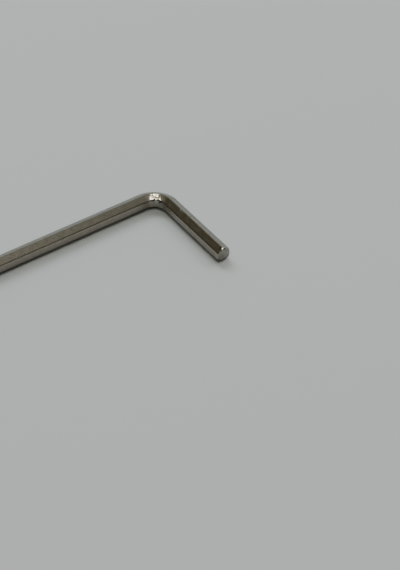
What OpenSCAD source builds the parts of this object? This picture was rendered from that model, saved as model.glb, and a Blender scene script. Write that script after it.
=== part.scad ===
/* [Bar] */
// Distance across the flats of the hexagonal bar
across_flats = 2.5; // [2:0.1:6]
// Radius on the bar's six long edges, as drawn wire has it
edge_r = 0.34; // [0.1:0.02:0.5]

/* [Arms] */
// Long arm, from its end face to the outside of the short arm
long_arm = 58.5; // [40:0.5:120]
// Short arm, from its end face to the outside of the long arm
short_arm = 20.2; // [14:0.5:50]

/* [Bend] */
// Radius of the inner flat round the bend
bend_r = 2.2; // [1.6:0.1:6]
// Part of the bending strain that comes out as a change of width
flow = 0.2; // [0:0.05:0.6]
// Angle of the turn over which that change builds up from each arm
swell_angle = 36; // [15:1:45]

/* [Ends] */
// How far the turned chamfer cuts in from the long edges at each end
chamfer_in = 0.18; // [0.08:0.01:0.4]
// Slope of the chamfer against the end face
chamfer_angle = 42; // [20:1:60]

/* [Hidden] */

// The hexagon lies on a corner: one flat is upright on the inside of the
// bend and one on the outside. The bar's axis runs through its middle
flat_half = across_flats / 2;
// From the bar's axis to the centre of each rounded edge, and to its crest
edge_centre = (flat_half - edge_r) / cos(30);
crest_r = edge_centre + edge_r;

// Bend centre, and the radius of the bar's axis about it
axis_r = bend_r + flat_half;
bend_x = long_arm / 2 - across_flats - bend_r;
bend_y = short_arm / 2 - across_flats - bend_r;
// Straight length of each arm, from its end face to the bend
long_straight = bend_x + long_arm / 2;
short_straight = bend_y + short_arm / 2;

// Strips round each rounded edge, and slices of the quarter turn
edge_steps = 4;
bend_steps = 18;

// Outline of the bar as [outward, up] from its axis: six rounded edges,
// each turned through 60 degrees, with the flats between them
section = [
    for (corner = [30 : 60 : 330], i = [0 : edge_steps])
        let (turn = corner - 30 + 60 * i / edge_steps)
        edge_centre * [cos(corner), sin(corner)] + edge_r * [cos(turn), sin(turn)]
];

// Share of the full strain at angle a of the quarter turn: it climbs
// smoothly from nothing at either arm to all of it over swell_angle
function smooth(t) = t * t * (3 - 2 * t);
function strain_share(a) = smooth(min(1, min(a, 90 - a) / swell_angle));

// A point of the outline in the bent bar. The inside of a bend is squeezed
// along the bar and swells across it, while the outside is stretched and
// draws in, so widths change by flow times the strain at that point
function bent(p, share) =
    let (k = share * flow / axis_r)
    [p[0] - k * p[0] * p[0] / 2, p[1] * (1 - k * p[0])];

// The bent outline, set at angle a round the bend centre
function bend_slice(a) = [
    for (p = section)
        let (q = bent(p, strain_share(a)))
        [(axis_r + q[0]) * cos(a), (axis_r + q[0]) * sin(a), q[1]]
];

// A straight arm, standing on the bend, with the chamfered end face on top
module arm(straight) {
    face_r = crest_r - chamfer_in;
    chamfer_drop = (across_flats - face_r) * tan(chamfer_angle);
    intersection() {
        linear_extrude(straight)
            polygon(section);
        // The turned blank: a cone from out past the edges up to the end face
        rotate_extrude($fn = 96)
            polygon([
                [0, 0],
                [across_flats, 0],
                [across_flats, straight - chamfer_drop],
                [face_r, straight],
                [0, straight]
            ]);
    }
}

// The quarter turn, lofted through the bent outlines
module bend() {
    n = len(section);
    last = n * bend_steps;
    polyhedron(
        points = [for (i = [0 : bend_steps]) each bend_slice(90 * i / bend_steps)],
        faces = [
            [for (j = [n - 1 : -1 : 0]) j],
            for (i = [0 : bend_steps - 1], j = [0 : n - 1])
                let (a = i * n + j, b = i * n + (j + 1) % n)
                each [[a, b, a + n], [b, b + n, a + n]],
            [for (j = [0 : n - 1]) last + j]
        ]
    );
}

// The whole key: one length of bar, chamfered at both ends and bent cold
module hex_key() {
    color([0.66, 0.64, 0.60])
        translate([bend_x, bend_y, crest_r]) {
            bend();
            translate([0, axis_r, 0])
                rotate([-90, 0, 90])
                    arm(long_straight);
            translate([axis_r, 0, 0])
                rotate([90, 0, 0])
                    arm(short_straight);
        }
}

hex_key();
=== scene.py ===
import math

import bpy
import numpy as np
from mathutils import Matrix, Vector


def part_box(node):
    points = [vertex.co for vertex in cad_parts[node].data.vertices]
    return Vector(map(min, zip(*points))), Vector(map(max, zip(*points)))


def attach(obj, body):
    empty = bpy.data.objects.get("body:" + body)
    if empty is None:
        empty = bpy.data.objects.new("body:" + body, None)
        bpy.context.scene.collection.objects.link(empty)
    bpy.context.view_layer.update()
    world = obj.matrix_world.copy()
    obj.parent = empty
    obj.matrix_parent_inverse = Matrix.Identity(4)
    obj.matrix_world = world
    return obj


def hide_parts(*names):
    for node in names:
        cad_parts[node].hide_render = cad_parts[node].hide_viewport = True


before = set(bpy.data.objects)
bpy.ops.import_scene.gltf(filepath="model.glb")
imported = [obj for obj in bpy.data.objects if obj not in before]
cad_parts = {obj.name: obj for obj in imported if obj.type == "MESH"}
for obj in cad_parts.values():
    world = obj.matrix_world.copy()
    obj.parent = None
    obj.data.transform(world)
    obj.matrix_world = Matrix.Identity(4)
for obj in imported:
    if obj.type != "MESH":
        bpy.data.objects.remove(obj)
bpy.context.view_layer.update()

# The key is one length of drawn hexagonal steel bar, cut, chamfered at both
# ends, bent cold through a right angle and nickel plated all over. It lies
# on its corners, with one flat upright on each side of the bend.
low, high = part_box("hex_key")
across_flats = 0.0025
edge_r = 0.00034
sharp_edge_r = 0.00018
bend_r = 0.0022
# Part of the bending strain that comes out as a change of width, and the angle
# over which it builds up from either arm
flow = 0.2
swell_angle = math.radians(36)

flat_half = across_flats / 2
crest_r = (flat_half - edge_r) / math.cos(math.radians(30)) + edge_r
axis_r = bend_r + flat_half
quarter_turn = math.pi / 2
turned = axis_r * quarter_turn
bend_centre = np.array([high.x - across_flats - bend_r, high.y - across_flats - bend_r])
long_straight = bend_centre[0] - low.x
short_straight = bend_centre[1] - low.y
total_length = long_straight + turned + short_straight

# The six long edges, from the lowest one round by way of the outside
edge_radii = (edge_r, sharp_edge_r, sharp_edge_r, edge_r, edge_r, sharp_edge_r)
edge_points = 11
flat_points = 9


def bar_outline():
    """Rounded hexagon as [outward, up] from the bar's axis, from the lowest
    corner round: each corner is an arc of 60 degrees with the radius of its
    own edge, and each flat is a straight line to the next arc. Also gives the
    length of outline passed at each point, and the whole length."""
    arcs = []
    for corner, radius in zip(np.radians(np.arange(270, 630, 60)), edge_radii):
        turn = corner + np.radians(np.linspace(-30, 30, edge_points))
        to_centre = (flat_half - radius) / math.cos(math.radians(30))
        centre = to_centre * np.array([math.cos(corner), math.sin(corner)])
        arcs.append(centre + radius * np.stack([np.cos(turn), np.sin(turn)], 1))
    share = np.linspace(0, 1, flat_points + 2)[1:-1, None]
    points = []
    for arc, next_arc in zip(arcs, arcs[1:] + arcs[:1]):
        points += [arc, arc[-1] * (1 - share) + next_arc[0] * share]
    outline = np.roll(np.concatenate(points), -(edge_points // 2), axis=0)
    step = np.linalg.norm(np.roll(outline, -1, axis=0) - outline, axis=1)
    return outline, np.concatenate([[0], np.cumsum(step)[:-1]]), step.sum()


ring, around, girth = bar_outline()

# Each end is turned to a cone, a little off the bar's centre, with a small
# round where the cone meets the flats
chamfer_in = 0.00012
chamfer_slope = math.tan(math.radians(42))
chamfer_round = 0.00005
chamfer_off = (0.00005, -0.00004)
chamfer_zone = 0.0006
first_step = 0.00002
tip_steps = 14
long_steps = 150
bend_steps = 130
short_steps = 60


def bar_stations():
    """Distances along the bar's axis at which it has a section, from the long
    arm's end to the short arm's: even steps along each arm, shorter ones round
    the bend, and steps that grow by a fixed ratio over the chamfer of each end."""
    tip = np.geomspace(first_step, chamfer_zone, tip_steps)
    long_arm = np.linspace(chamfer_zone, long_straight, long_steps)
    bend = np.linspace(long_straight, long_straight + turned, bend_steps)
    short_arm = np.linspace(long_straight + turned, total_length - chamfer_zone, short_steps)
    arms = np.concatenate([long_arm, bend, short_arm])
    return np.unique(np.concatenate([[0], tip, arms, total_length - tip, [total_length]]))


along = bar_stations()


def chamfered(s, u, z):
    """Brings in every point that is farther from the cone's axis than the cone
    is there: crest_r less chamfer_in at the end face, and the distance from the
    face over chamfer_slope more farther in. The excess is taken as half of
    itself plus half of the root of its square plus chamfer_round's square, which
    rounds the edge where the cone meets the flats."""
    from_end = np.minimum(s, total_length - s)
    limit = crest_r - chamfer_in + from_end / chamfer_slope
    u, z = u - chamfer_off[0], z - chamfer_off[1]
    reach = np.hypot(u, z)
    over = reach - limit
    cut = 0.5 * (over + np.sqrt(over * over + chamfer_round ** 2)) * (from_end < chamfer_zone)
    shrink = np.where(reach > 0, (reach - np.minimum(cut, reach)) / reach, 1)
    return u * shrink + chamfer_off[0], z * shrink + chamfer_off[1]


# At the middle of the bend the former has pressed the inner flat. The plate there is
# burnished and painted lighter, a painted reflection, and a dark crease with bites in it
# along the flat's upper edge is painted shade
bend_middle = math.radians(45)
press_depth = 0.00014
press_angle = math.radians(21)
press_steepness = 1.5
crease_width = 0.000084
crease_rise = 0.00006
crease_angle = math.radians(31)
crease_steepness = 4
crease_above = 0.35 * flat_half
bites = 19.5
bite_peak = math.radians(33)
burnish_sheen_angle = math.radians(42)
burnish_sheen_steepness = 1.6
burnish_sheen_start = 0.86
burnish_sheen_blend = 0.1


def smooth(t):
    """Rises from 0 to 1 with no slope at either end: three t squared less two t cubed."""
    t = np.clip(t, 0, 1)
    return t * t * (3 - 2 * t)


def about_middle(angle, reach, steepness):
    """1 round the middle of the bend, falling to 0 at reach from it: smooth of
    steepness times the share of reach that is left."""
    return smooth(steepness * (1 - np.abs(angle - bend_middle) / reach))


def upper_crease_shade(u, z, angle, pressed):
    """The crease's painted shade, from 0 to 1: e to minus the fourth power of the
    distance from its line over its width, above crease_above only. A cosine of the
    angle makes the bites, between which the painted shade is half as wide and half as strong."""
    bite = 0.5 + 0.5 * np.cos(bites * (angle - bite_peak))
    across = (u + flat_half - pressed - crease_rise) / (crease_width * (1 + bite))
    line = np.exp(-(across ** 4)) * (z > crease_above)
    return line * about_middle(angle, crease_angle, crease_steepness) * (0.5 + 0.5 * bite)


def burnished_sheen(u, angle):
    """The burnished plate painted lighter, a painted reflection, from 0 to 1, on the inner flat and
    a little past its edges.
    """
    on_flat = smooth((-u / flat_half - burnish_sheen_start) / burnish_sheen_blend)
    return about_middle(angle, burnish_sheen_angle, burnish_sheen_steepness) * on_flat


# The squeezed metal stands up beside the two inner corners. At the middle of
# the bend there is a shallow hollow, and low ripples run over the whole bend
wrinkle = 0.00001
wrinkle_run_in = 0.5
bulge_height = 0.00009
bulge_angle = math.radians(40)
bulge_start = 0.35
bulge_blend = 0.85
hollow_depth = 0.00003
hollow_length = 0.00085
hollow_inner_end = 0.8
hollow_inner_blend = 0.5
hollow_outer_end = 0.9
hollow_outer_blend = 0.6


def bend_wrinkles(s, a):
    """The ripples, as a height from -1 to 1 at s along the bar and a round it,
    both in mm: the mean of sin(7 s + 2.2 a), cos(5.1 a - 3.3 s) and
    sin(13 s - 6.1 a)."""
    return (np.sin(7 * s + 2.2 * a) + np.cos(5.1 * a - 3.3 * s) + np.sin(13 * s - 6.1 * a)) / 3


def bend_relief(s, u, angle):
    """Height of the ripples, and of the bulge (the square of one less the
    square of the angle from the middle over bulge_angle), less the hollow (e to
    minus the square of the distance from the middle over hollow_length). Each
    fades across the bar, with inward going from -1 outside to 1 at the inner flat."""
    inward = -u / flat_half
    ripple = wrinkle * bend_wrinkles(s * 1000, around * 1000)
    ripple = ripple * smooth(np.minimum(angle, quarter_turn - angle) / wrinkle_run_in)
    ripple = ripple * smooth(1 - inward)
    bulge = bulge_height * np.maximum(1 - ((angle - bend_middle) / bulge_angle) ** 2, 0) ** 2
    bulge = bulge * smooth((inward - bulge_start) / bulge_blend)
    past_middle = (s - long_straight - axis_r * bend_middle) / hollow_length
    hollow = hollow_depth * np.exp(-(past_middle ** 2))
    hollow = hollow * smooth((hollow_inner_end - inward) / hollow_inner_blend)
    hollow = hollow * smooth((hollow_outer_end + inward) / hollow_outer_blend)
    return ripple + bulge - hollow


def carried_round(s, u, z, angle):
    """The L. Along each arm the bar is straight. Round the bend each point goes
    round the bend centre at its own radius, and moves across the bar by flow
    times its strain, which swells the inside and draws in the outside."""
    share = smooth(np.minimum(angle, quarter_turn - angle) / swell_angle)
    k = share * flow / axis_r
    r = axis_r + u - k * u * u / 2
    x = bend_centre[0] + r * np.sin(angle) + np.minimum(s - long_straight, 0)
    y = bend_centre[1] + r * np.cos(angle) - np.maximum(s - long_straight - turned, 0)
    return np.stack([x, y, z * (1 - k * u) + crest_r], -1)


# The short arm is cut off a little out of square, so its foot stands proud,
# and a small bruise flattens the top corner of its tip
cut_proud = 0.00005
cut_slope = 0.055
cut_length = 0.003
bruise_zone = 0.0008
bruise_depth = 0.00003
bruise_facing = np.array([-0.241, -0.360, 0.901])


def finished_tip(points, s):
    """Near the short arm's end, moves each point out by cut_proud and cut_slope
    times its depth below the crest, and brings every point that reaches past
    the bruise back to it. The bruise is a plane across bruise_facing."""
    proud = cut_proud + cut_slope * (2 * crest_r - points[..., 2])
    points[..., 1] -= proud * smooth((s - total_length + cut_length) / cut_length)
    near_tip = s > total_length - bruise_zone
    reach = points @ bruise_facing
    limit = reach[near_tip].max() - bruise_depth
    depth = np.where(near_tip, np.maximum(reach - limit, 0), 0)
    return points - depth[..., None] * bruise_facing


def bar_surface():
    """The outline set at every station, chamfered, pressed at the bend, raised
    by the bend's relief along the line from the axis, and carried along the L.
    Also gives the crease's painted shade and the burnish's painted reflection at each point."""
    s, u = np.meshgrid(along, ring[:, 0], indexing="ij")
    u, z = chamfered(s, u, np.broadcast_to(ring[:, 1], s.shape))
    angle = np.clip((s - long_straight) / axis_r, 0, quarter_turn)
    pressed = press_depth * about_middle(angle, press_angle, press_steepness)
    crease_shade = upper_crease_shade(u, z, angle, pressed)
    burnish_sheen = burnished_sheen(u, angle)
    u = np.maximum(u, pressed - flat_half)
    swell = 1 + bend_relief(s, u, angle) / np.hypot(u, z)
    return finished_tip(carried_round(s, u * swell, z * swell, angle), s), crease_shade, burnish_sheen


# Each end face is closed by rings of these sizes, and by its middle
cap_sizes = np.array([0.93, 0.8, 0.62, 0.42, 0.2])
cap_count = len(cap_sizes)
cap_reach = np.linspace(0.0001, 0.0012, cap_count)
middle_reach = 0.0013


def bar_points(grid):
    """The rings of both end faces, shrunk towards their middles, before and
    after the rings of the bar, and then the two middles."""
    first, last = grid[0], grid[-1]
    first_middle, last_middle = first.mean(0), last.mean(0)
    sizes = cap_sizes[:, None, None]
    head = first_middle + (first - first_middle) * sizes[::-1]
    tail = last_middle + (last - last_middle) * sizes
    points = np.concatenate([head, grid, tail]).reshape(-1, 3)
    return np.concatenate([points, [first_middle], [last_middle]])


def bar_faces(rings, n):
    """Quads between each ring of n points and the next, and a fan of triangles
    from each middle to the ring beside it."""
    i = np.arange(rings - 1)[:, None] * n
    j = np.arange(n)[None, :]
    k = (j + 1) % n
    quads = np.stack([i + j, i + n + j, i + n + k, i + k], -1).reshape(-1, 4)
    middle = rings * n
    last = middle - n
    first_fan = np.stack([np.full(n, middle), j[0], k[0]], -1)
    last_fan = np.stack([np.full(n, middle + 1), last + k[0], last + j[0]], -1)
    return quads.tolist() + first_fan.tolist() + last_fan.tolist()


def add_along_bar(mesh, s, a):
    """UV map in mm: s along the bar and a round it at each point. A face that
    crosses the seam has the girth added to its low corners."""
    loops = np.empty(len(mesh.loops), np.int32)
    mesh.loops.foreach_get("vertex_index", loops)
    uv = np.stack([s[loops], a[loops]], -1)
    starts = np.empty(len(mesh.polygons), np.int32)
    corners = np.empty(len(mesh.polygons), np.int32)
    mesh.polygons.foreach_get("loop_start", starts)
    mesh.polygons.foreach_get("loop_total", corners)
    top = np.repeat(np.maximum.reduceat(uv[:, 1], starts), corners)
    uv[:, 1] += girth * ((top - uv[:, 1]) > girth / 2)
    layer = mesh.uv_layers.new(name="along_bar")
    layer.data.foreach_set("uv", (uv * 1000).astype(np.float32).ravel())


# Where the plate differs: the crest of each long edge is tarnished and painted with
# a darker reflected line, the upper ones half as much; the flats below are painted
# darker as painted shade, the inner flat is painted browner as a painted reflection,
# and the short arm is painted lighter, painted light, from three quarters of the way round
crest_start = 0.8
upper_edges = 0.5
underside_shade_start = 0.42
underside_shade_blend = 0.08
inner_start = 0.9
inner_blend = 0.06
short_arm_light_start = long_straight + 0.75 * turned
short_arm_light_blend = 0.003


def plate_marks(lengths, crease_shade, burnish_sheen):
    """What the plate's material reads, from 0 to 1, as a row for each ring:
    how near a point is to the crest of a long edge, the end faces, the crease
    and the burnish (painted shade and painted reflection), the flats that face down
    (painted shade), the short arm with its painted lighter plate, and the inner flat
    with its painted browner reflection."""
    crest = np.cos(6 * (np.arctan2(ring[:, 1], ring[:, 0]) - math.pi / 6))
    near_edge = np.clip((crest - crest_start) / (1 - crest_start), 0, 1)
    near_edge = near_edge * np.where(ring[:, 1] < 0, 1, upper_edges)
    underside_shade = smooth((-ring[:, 1] / crest_r - underside_shade_start) / underside_shade_blend)
    inner = smooth((-ring[:, 0] / flat_half - inner_start) / inner_blend)
    short_arm_light = smooth((lengths - short_arm_light_start) / short_arm_light_blend)[:, None]
    row = np.arange(len(lengths))[:, None]
    from_end = np.minimum(row, len(lengths) - 1 - row)
    on_bar = from_end >= cap_count
    to_rim = from_end >= cap_count - 1
    end_face = from_end <= cap_count
    pad = ((cap_count, cap_count), (0, 0))
    across = np.ones(len(ring))
    return {
        "edge": near_edge * on_bar,
        "end_face": across * end_face,
        "crease_shade": np.pad(crease_shade, pad),
        "burnish_sheen": np.pad(burnish_sheen, pad),
        "underside_shade": underside_shade * to_rim,
        "short_arm_light": across * short_arm_light * on_bar,
        "inner": inner * to_rim,
    }


def bar_mesh():
    """The rings of the bar and of its end faces, joined up, with the UV map and
    the plate's marks. On an end face s goes on past the bar's end."""
    grid, crease_shade, burnish_sheen = bar_surface()
    n = len(ring)
    lengths = np.concatenate([-cap_reach[::-1], along, total_length + cap_reach])
    mesh = bpy.data.meshes.new("hex_key_bar")
    mesh.from_pydata(bar_points(grid).tolist(), [], bar_faces(len(lengths), n))
    s = np.append(np.repeat(lengths, n), [-middle_reach, total_length + middle_reach])
    a = np.append(np.tile(around, len(lengths)), [0, 0])
    add_along_bar(mesh, s, a)
    for name, rows in plate_marks(lengths, crease_shade, burnish_sheen).items():
        values = np.append(rows.ravel(), [rows[0, 0], rows[-1, 0]])
        layer = mesh.attributes.new(name, "FLOAT", "POINT")
        layer.data.foreach_set("value", values.astype(np.float32))
    mesh.polygons.foreach_set("use_smooth", np.ones(len(mesh.polygons), bool))
    mesh.validate()
    mesh.update()
    return mesh


def add_node(tree, kind, **settings):
    """A node of that kind, with the attributes that settings name."""
    node = tree.nodes.new(kind)
    for name, value in settings.items():
        setattr(node, name, value)
    return node


def mark(tree, name):
    """The bar's mark of that name."""
    return add_node(tree, "ShaderNodeAttribute", attribute_name=name).outputs["Fac"]


def patches(tree, coords, scale, detail, start, full):
    """Noise at scale (a number, or three for the axes of coords), stretched so
    that start becomes 0 and full becomes 1."""
    mapping = add_node(tree, "ShaderNodeMapping")
    mapping.inputs["Scale"].default_value = scale if isinstance(scale, tuple) else (scale,) * 3
    noise = add_node(tree, "ShaderNodeTexNoise")
    noise.inputs["Scale"].default_value = 1
    noise.inputs["Detail"].default_value = detail
    spread = add_node(tree, "ShaderNodeMapRange")
    spread.inputs["From Min"].default_value = start
    spread.inputs["From Max"].default_value = full
    tree.links.new(coords, mapping.inputs["Vector"])
    tree.links.new(mapping.outputs["Vector"], noise.inputs["Vector"])
    tree.links.new(noise.outputs["Fac"], spread.inputs["Value"])
    return spread.outputs["Result"]


def blend_colours(tree, share, first, second):
    """first where share is 0 and second where it is 1: colours or sockets."""
    mix = add_node(tree, "ShaderNodeMix", data_type="RGBA")
    tree.links.new(share, mix.inputs["Factor"])
    for side, colour in (("A", first), ("B", second)):
        if isinstance(colour, tuple):
            mix.inputs[side].default_value = (*colour, 1)
        else:
            tree.links.new(colour, mix.inputs[side])
    return mix.outputs["Result"]


def calculate(tree, operation, first, second):
    """first (operation) second, each a number or a socket."""
    node = add_node(tree, "ShaderNodeMath", operation=operation)
    for i, value in enumerate((first, second)):
        if isinstance(value, (int, float)):
            node.inputs[i].default_value = value
        else:
            tree.links.new(value, node.inputs[i])
    return node.outputs["Value"]


def sum_of(tree, start, *parts):
    """start plus each part's socket times its weight."""
    for socket, weight in parts:
        start = calculate(tree, "ADD", start, calculate(tree, "MULTIPLY", socket, weight))
    return start


# Two dark spots beside the bruise on the short arm's tip
spot_centres = ((0.02766, -0.00970, 0.00265), (0.02820, -0.01010, 0.00252))
spot_r = 0.00008
spot_fade_r = 0.00018


def dark_spot(tree, place, centre):
    """1 within spot_r of centre, falling smoothly to 0 at spot_fade_r."""
    away = add_node(tree, "ShaderNodeVectorMath", operation="DISTANCE")
    away.inputs[1].default_value = centre
    fade = add_node(tree, "ShaderNodeMapRange", interpolation_type="SMOOTHSTEP")
    fade.inputs["From Min"].default_value = spot_fade_r
    fade.inputs["From Max"].default_value = spot_r
    tree.links.new(place, away.inputs[0])
    tree.links.new(away.outputs["Value"], fade.inputs["Value"])
    return fade.outputs["Result"]


# The plate's two tones, its tint at a glancing angle and the darker one of the
# flats below, which is painted shade, its own roughness, and the height of its draw lines
bright_plate = (0.436, 0.428, 0.396)
dull_plate = (0.336, 0.331, 0.299)
glancing = (0.75, 0.75, 0.74)
glancing_underside_shade = (0.30, 0.29, 0.27)
plate_roughness = 0.09
line_height = 0.000001


def nickel_plate():
    """Bright nickel over drawn bar. Long streaks and fine draw lines run along
    the bar, on the UV map in mm; cloudy patches, a fine grain and a few pits
    lie on Object coordinates; the long edges are a little tarnished and carry a painted
    darker reflected line, and the bar's marks add painted shade, reflection and light."""
    material = bpy.data.materials.new("nickel_plate")
    material.use_nodes = True
    tree = material.node_tree
    shader = tree.nodes["Principled BSDF"]
    shader.inputs["Metallic"].default_value = 1
    along_bar = add_node(tree, "ShaderNodeUVMap", uv_map="along_bar").outputs["UV"]
    place = add_node(tree, "ShaderNodeTexCoord").outputs["Object"]
    edges, ends = mark(tree, "edge"), mark(tree, "end_face")
    crease_shade, burnish_sheen = mark(tree, "crease_shade"), mark(tree, "burnish_sheen")
    underside_shade, inner, short_arm_light = mark(tree, "underside_shade"), mark(tree, "inner"), mark(tree, "short_arm_light")

    streaks = patches(tree, along_bar, (0.45, 4.2, 1), 3, 0.32, 0.68)
    draw_lines = patches(tree, along_bar, (0.5, 26, 1), 2, 0.3, 0.7)
    tarnish = patches(tree, along_bar, (0.8, 3, 1), 3, 0.2, 0.75)
    clouds = patches(tree, place, 900, 4, 0.35, 0.65)
    mottle = patches(tree, place, 2800, 3, 0.32, 0.68)
    pits = patches(tree, place, 3800, 0, 0.74, 0.80)
    speckle = patches(tree, place, 4800, 1, 0.38, 0.62)
    grain = patches(tree, place, 9000, 2, 0.3, 0.7)
    saw_marks = patches(tree, place, (1500, 1500, 14000), 2, 0.3, 0.7)

    # The short arm's edges are darkened more than the long arm's: tarnish and a painted
    # darker reflected line, set against the short arm's painted light
    edge_darkening = sum_of(tree, 0.75, (short_arm_light, 0.6))
    worn_and_dark_reflection = calculate(tree, "MULTIPLY", calculate(tree, "MULTIPLY", edges, tarnish), edge_darkening)
    colour = blend_colours(tree, clouds, bright_plate, dull_plate)
    layers = [
        # The short arm painted lighter: painted light
        (short_arm_light, 0.5, (0.49, 0.48, 0.45)),
        (mottle, 0.4, (0.24, 0.232, 0.20)),
        (streaks, 0.35, (0.29, 0.278, 0.235)),
        (speckle, 0.6, (0.23, 0.222, 0.19)),
        # The inner flat painted browner: painted reflection
        (inner, 0.4, (0.395, 0.340, 0.285)),
        # The burnish painted lighter: painted reflection
        (burnish_sheen, 0.6, (0.50, 0.50, 0.48)),
        # The edge crests darkened: tarnish and painted dark reflection
        (worn_and_dark_reflection, 1, (0.14, 0.125, 0.09)),
        (ends, 0.3, (0.22, 0.215, 0.19)),
        (pits, 0.7, (0.06, 0.05, 0.04)),
        # The crease painted near black: painted shade
        (crease_shade, 1, (0.003, 0.0027, 0.0022)),
        # The flats that face down painted darker: painted shade
        (underside_shade, 1, (0.12, 0.112, 0.095)),
    ]
    for centre in spot_centres:
        layers.append((dark_spot(tree, place, centre), 1, (0.02, 0.018, 0.015)))
    for where, weight, tint in layers:
        share = calculate(tree, "MULTIPLY", where, weight)
        colour = blend_colours(tree, share, colour, tint)
    tree.links.new(colour, shader.inputs["Base Color"])
    # The flats that face down also get a darker glancing tint: painted shade
    rim = blend_colours(tree, underside_shade, glancing, glancing_underside_shade)
    tree.links.new(rim, shader.inputs["Specular Tint"])

    # The crease is matt where it is strongest and shines as the plate does elsewhere
    matt = calculate(tree, "POWER", crease_shade, 4)
    dulling = ((clouds, 0.06), (streaks, 0.05), (ends, 0.12), (matt, 0.6))
    rough = sum_of(tree, plate_roughness, *dulling)
    tree.links.new(rough, shader.inputs["Roughness"])

    # Draw lines on the sides of the bar and saw marks on its ends
    lines = calculate(tree, "MULTIPLY", draw_lines, calculate(tree, "SUBTRACT", 1, ends))
    cuts = calculate(tree, "MULTIPLY", saw_marks, ends)
    bump = add_node(tree, "ShaderNodeBump")
    bump.inputs["Strength"].default_value = 1
    bump.inputs["Distance"].default_value = line_height
    height = sum_of(tree, lines, (cuts, 2), (grain, 0.5), (pits, -3))
    tree.links.new(height, bump.inputs["Height"])
    tree.links.new(bump.outputs["Normal"], shader.inputs["Normal"])
    return material


key = bpy.data.objects.new("hex_key_bar", bar_mesh())
bpy.context.scene.collection.objects.link(key)
key.data.materials.append(nickel_plate())
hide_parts("hex_key")
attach(key, "root")

# The table is a plain pale grey board, matt, far wider than the picture.
table_half = 1.5
board_colour = (0.705, 0.741, 0.759, 1)
board_roughness = 0.7
table_corners = [
    (-table_half, -table_half, 0),
    (table_half, -table_half, 0),
    (table_half, table_half, 0),
    (-table_half, table_half, 0),
]
table_mesh = bpy.data.meshes.new("table_top")
table_mesh.from_pydata(table_corners, [], [(0, 1, 2, 3)])
table = bpy.data.objects.new("table_top", table_mesh)
bpy.context.scene.collection.objects.link(table)
table.location = (0, 0, low.z)
board = bpy.data.materials.new("pale_board")
board.use_nodes = True
board.node_tree.nodes["Principled BSDF"].inputs["Base Color"].default_value = board_colour
board.node_tree.nodes["Principled BSDF"].inputs["Roughness"].default_value = board_roughness
table_mesh.materials.append(board)

# The room is dim and brown, with a wide pale wall behind the key to the right
# and four soft glows: two on the ceiling, a faint one behind to the left, and
# one low in front, which the long edges mirror.
wall_colour = (0.091, 0.083, 0.062, 1)
past_table_colour = (0.43, 0.44, 0.435, 1)
pale_wall = ((0.8, 0.6, 0.0), 0.18, 0.6, (0.62, 0.65, 0.655))
front_ceiling = ((0.15, -0.3, 0.93), 0.90, 1.0, (0.37, 0.36, 0.315))
back_ceiling = ((-0.12, 0.15, 0.98), 0.86, 1.0, (0.20, 0.195, 0.17))
back_left = ((-0.40, 0.50, 0.77), 0.75, 0.99, (0.035, 0.028, 0.008))
low_in_front = ((0.44, -0.88, 0.15), 0.80, 1.0, (0.085, 0.076, 0.058))
world = bpy.data.worlds.new("room")
world.use_nodes = True
room = world.node_tree
bpy.context.scene.world = world


def soft_patch(light, toward, start, full, colour):
    """Adds a patch of light to the room: its strength climbs smoothly from
    nothing to colour as the cosine of the angle to that direction goes from
    start to full."""
    coords = add_node(room, "ShaderNodeTexCoord")
    dot = add_node(room, "ShaderNodeVectorMath", operation="DOT_PRODUCT")
    dot.inputs[1].default_value = Vector(toward).normalized()
    climb = add_node(room, "ShaderNodeMapRange", interpolation_type="SMOOTHSTEP")
    climb.inputs["From Min"].default_value = start
    climb.inputs["From Max"].default_value = full
    tint = add_node(room, "ShaderNodeMix", data_type="RGBA", blend_type="ADD")
    tint.inputs["B"].default_value = (*colour, 1)
    room.links.new(coords.outputs["Generated"], dot.inputs[0])
    room.links.new(dot.outputs["Value"], climb.inputs["Value"])
    room.links.new(climb.outputs["Result"], tint.inputs["Factor"])
    room.links.new(light, tint.inputs["A"])
    return tint.outputs["Result"]


walls = add_node(room, "ShaderNodeRGB")
walls.outputs[0].default_value = wall_colour
glow = walls.outputs[0]
for patch in (pale_wall, front_ceiling, back_ceiling, back_left, low_in_front):
    glow = soft_patch(glow, *patch)
# What shows past the table's edge is pale, while light and reflections come
# from the dim room
seen = add_node(room, "ShaderNodeLightPath")
past_table = add_node(room, "ShaderNodeMix", data_type="RGBA")
past_table.inputs["B"].default_value = past_table_colour
room.links.new(seen.outputs["Is Camera Ray"], past_table.inputs["Factor"])
room.links.new(glow, past_table.inputs["A"])
room.links.new(past_table.outputs["Result"], room.nodes["Background"].inputs["Color"])

# An oval lamp shade hangs overhead, with two bulbs that only the metal mirrors.
# Windows on the right and behind light the key and the table, and two soft
# panels, which the metal doesn't mirror, light the table alone.
shade_light = (1.0, 0.95, 0.80)
bulb_light = (1.0, 0.93, 0.70)
daylight = (0.93, 0.98, 1.0)
fill_light = (0.95, 0.98, 1.0)


def lamp(name, toward, width_along, distance, size, power, colour):
    """A soft rectangular light at that direction and distance from the origin,
    facing it. size gives its width, which runs along width_along, and its
    height, in metres."""
    light = bpy.data.lights.new(name, "AREA")
    light.shape = "RECTANGLE"
    light.size, light.size_y = size
    light.energy = power
    light.color = colour
    holder = bpy.data.objects.new(name, light)
    way = Vector(toward).normalized()
    holder.location = way * distance
    side = Vector(width_along).cross(way).normalized()
    holder.rotation_euler = Matrix((side.cross(way), side, way)).transposed().to_euler()
    bpy.context.scene.collection.objects.link(holder)
    return holder


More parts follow.
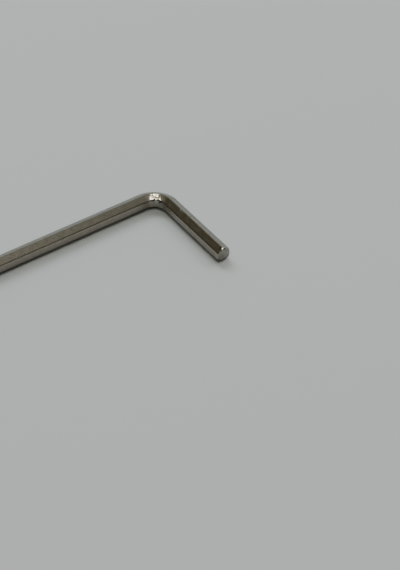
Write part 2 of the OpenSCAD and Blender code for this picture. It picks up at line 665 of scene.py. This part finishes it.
shade_along = (0.35, -0.94, 0)
shade_size = (0.23, 0.20)
shade = lamp("lamp_shade", (-0.025, -0.025, 0.99), shade_along, 1.0, shade_size, 0.74, shade_light)
shade.data.shape = "ELLIPSE"
bulb_along = (0.66, -0.75, 0)
bulb_size = (0.10, 0.07)
bulb_left = lamp("bulb_left", (0.02, -0.10, 0.99), bulb_along, 1.0, bulb_size, 0.45, bulb_light)
bulb_right = lamp("bulb_right", (-0.03, 0.145, 0.98), bulb_along, 1.0, bulb_size, 1.1, bulb_light)
bulb_left.visible_diffuse = bulb_right.visible_diffuse = False
window_size = (0.40, 0.30)
lamp("window_right", (0.74, 0.10, 0.66), (0, 1, 0), 1.2, window_size, 1.5, daylight)
lamp("window_back", (-0.02, 0.80, 0.60), (1, 0, 0), 1.2, window_size, 2.1, daylight)
panel_along = (0.7, -0.7, 0)
sky_panel = lamp("sky_panel", (0.27, 0.62, 0.74), panel_along, 0.8, (0.34, 0.28), 1.62, daylight)
fill_panel = lamp("fill_panel", (-0.45, -0.24, 0.86), panel_along, 1.2, (0.5, 0.4), 1.1, fill_light)
sky_panel.visible_glossy = fill_panel.visible_glossy = False

# The camera looks down on the bent end of the key from in front and to the
# left, tipped slightly to one side. Its place is given round the point that it
# looks at.
camera_azimuth = math.radians(-37.99)
camera_elevation = math.radians(44.44)
camera_roll = math.radians(2.58)
camera_distance = 0.18422
look_at = Vector((0.021252, -0.012786, 0))
focal_length_mm = 70.19
sensor_width_mm = 36
back = Vector((
    math.sin(camera_azimuth) * math.cos(camera_elevation),
    -math.cos(camera_azimuth) * math.cos(camera_elevation),
    math.sin(camera_elevation),
))
level = Vector((math.cos(camera_azimuth), math.sin(camera_azimuth), 0))
upright = back.cross(level)
right = level * math.cos(camera_roll) + upright * math.sin(camera_roll)
turn = Matrix((right, back.cross(right), back)).transposed()
lens = bpy.data.cameras.new("camera")
lens.lens = focal_length_mm
lens.sensor_width = sensor_width_mm
lens.clip_start, lens.clip_end = 0.01, 10
camera = bpy.data.objects.new("camera", lens)
camera.matrix_world = Matrix.Translation(look_at + back * camera_distance) @ turn.to_4x4()
bpy.context.scene.collection.objects.link(camera)
bpy.context.scene.camera = camera
